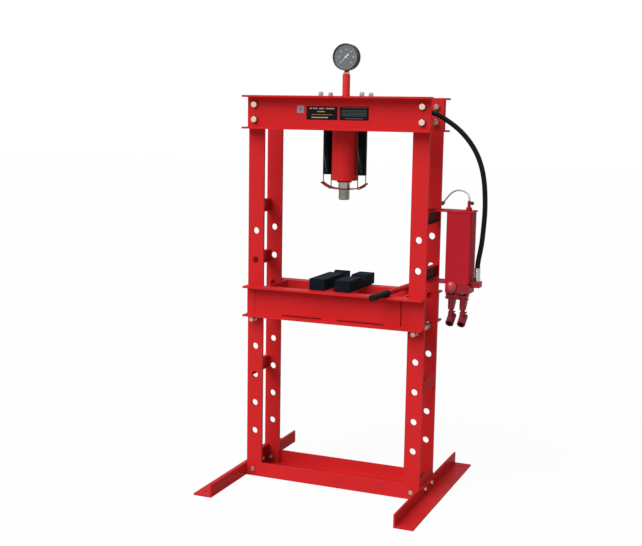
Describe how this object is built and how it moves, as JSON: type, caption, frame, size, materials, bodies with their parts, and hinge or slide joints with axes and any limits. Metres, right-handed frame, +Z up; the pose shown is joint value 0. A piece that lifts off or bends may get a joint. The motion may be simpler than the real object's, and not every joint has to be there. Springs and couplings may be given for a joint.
{
  "type": "hydraulic shop press",
  "caption": "Free-standing H-frame shop press with a bed on pins, a spring-returned cylinder in the head, a pressure gauge and a side-mounted two-lever hand pump.",
  "frame": {"origin": "on the floor, at the middle of the four anchor holes and midway between the four posts", "axes": "+Z up, -Y to the front where the plates on the head face, +X to the pump side"},
  "size_m": [1.088, 0.864, 1.86],
  "materials": {
    "frame_red": "gloss enamel",
    "pump_red": "satin enamel",
    "zinc": "zinc plated",
    "chrome_rod": "hard chrome, polished",
    "turned_steel": "turned",
    "black_iron": "black painted",
    "spring_black": "black oxide",
    "gauge_black": "gloss black",
    "dial_grey": "matt print",
    "needle_white": "matt white",
    "window": "clear",
    "brass": "turned",
    "hose_rubber": "smooth cover",
    "grip_rubber": "moulded",
    "seal_rubber": "moulded",
    "clear_tube": "clear",
    "black_plastic": "moulded",
    "plate_print": "printed sheet"
  },
  "bodies": {
    "frame": {"post_front_left": "frame_red", "post_front_right": "frame_red", "post_rear_left": "frame_red", "post_rear_right": "frame_red", "head_beam_front": "frame_red", "head_beam_rear": "frame_red", "head_top_plate": "frame_red", "cylinder_mount_plate": "frame_red", "top_plate_bolts": "zinc", "frame_bolts": "zinc", "frame_nuts": "zinc", "frame_washers": "zinc", "post_spacers": "frame_red", "base_spacers": "frame_red", "rail_front": "frame_red", "rail_rear": "frame_red", "foot_left": "frame_red", "foot_right": "frame_red", "head_plates": "plate_print", "cylinder_barrel": "frame_red", "cylinder_gland": "frame_red", "spring_left": "spring_black", "spring_right": "spring_black", "gauge_pipe": "frame_red", "gauge_adapter": "brass", "gauge_case": "gauge_black", "gauge_dial": "dial_grey", "gauge_glass": "window", "bourdon_tube": "brass", "hydraulic_hose": "hose_rubber", "hose_fitting_cylinder": "zinc", "hose_fitting_pump": "zinc", "pump_bracket_top": "pump_red", "pump_bracket_bottom": "pump_red", "tank": "pump_red", "vent_valve": "pump_red", "vent_tube": "clear_tube", "vent_tube_clip": "black_plastic", "pump_body": "pump_red", "lever_pivot_pin": "zinc"},
    "ram": {"ram": "chrome_rod", "piston_seal": "seal_rubber", "ram_tip": "turned_steel", "yoke": "frame_red"},
    "bed": {"bed_channel_front": "frame_red", "bed_channel_rear": "frame_red", "bed_end_plates": "frame_red", "press_block_left": "black_iron", "press_block_right": "black_iron", "pump_handle_rod": "frame_red", "pump_handle_grip": "grip_rubber"},
    "pin_left": {"bed_pin_left": "zinc"},
    "pin_right": {"bed_pin_right": "zinc"},
    "lever_low": {"lever_low": "pump_red"},
    "lever_high": {"lever_high": "pump_red"},
    "plunger_low": {"plunger_low": "chrome_rod"},
    "plunger_high": {"plunger_high": "chrome_rod"},
    "release_knob": {"release_knob": "pump_red"},
    "vent_knob": {"vent_knob": "black_plastic"},
    "gauge_needle": {"gauge_needle": "needle_white"}
  },
  "joints": [
    {"name": "ram_slide", "type": "slide", "parent": "frame", "child": "ram", "axis": [0, 0, -1], "range_m": [0, 0.15], "stiffness_N_per_m": 1500, "springref_m": -0.1, "deforming": ["spring_left", "spring_right"]},
    {"name": "bed_lift", "type": "slide", "parent": "frame", "child": "bed", "axis": [0, 0, 1], "range_m": [0, 0.16]},
    {"name": "pin_left_draw", "type": "slide", "parent": "frame", "child": "pin_left", "axis": [0, -1, 0], "range_m": [0, 0.2]},
    {"name": "pin_right_draw", "type": "slide", "parent": "frame", "child": "pin_right", "axis": [0, -1, 0], "range_m": [0, 0.2]},
    {"name": "lever_low_swing", "type": "hinge", "parent": "frame", "child": "lever_low", "pos_m": [0.483, -0.02, 0.85], "axis": [-1, 0, 0], "range_deg": [-5, 35]},
    {"name": "lever_high_swing", "type": "hinge", "parent": "frame", "child": "lever_high", "pos_m": [0.531, -0.02, 0.85], "axis": [-1, 0, 0], "range_deg": [-5, 35]},
    {"name": "plunger_low_slide", "type": "slide", "parent": "frame", "child": "plunger_low", "axis": [0, 0, -1], "range_m": [-0.002, 0.014]},
    {"name": "plunger_high_slide", "type": "slide", "parent": "frame", "child": "plunger_high", "axis": [0, 0, -1], "range_m": [-0.002, 0.014]},
    {"name": "release_knob_turn", "type": "hinge", "parent": "frame", "child": "release_knob", "pos_m": [0.487, -0.045, 0.894], "axis": [0, -1, 0], "range_deg": [0, 180]},
    {"name": "vent_knob_turn", "type": "hinge", "parent": "frame", "child": "vent_knob", "pos_m": [0.537, 0, 1.229], "axis": [1, 0, 0], "range_deg": [0, 180]},
    {"name": "gauge_needle_turn", "type": "hinge", "parent": "frame", "child": "gauge_needle", "pos_m": [0, -0.011, 1.805], "axis": [0, 1, 0], "range_deg": [0, 270], "stiffness_Nm_per_rad": 0.002, "springref_deg": -20.05}
  ],
  "couplings": [
    {"joint": "plunger_low_slide", "follows": "lever_low_swing", "m_per_rad": 0.0227},
    {"joint": "plunger_high_slide", "follows": "lever_high_swing", "m_per_rad": 0.0227}
  ]
}
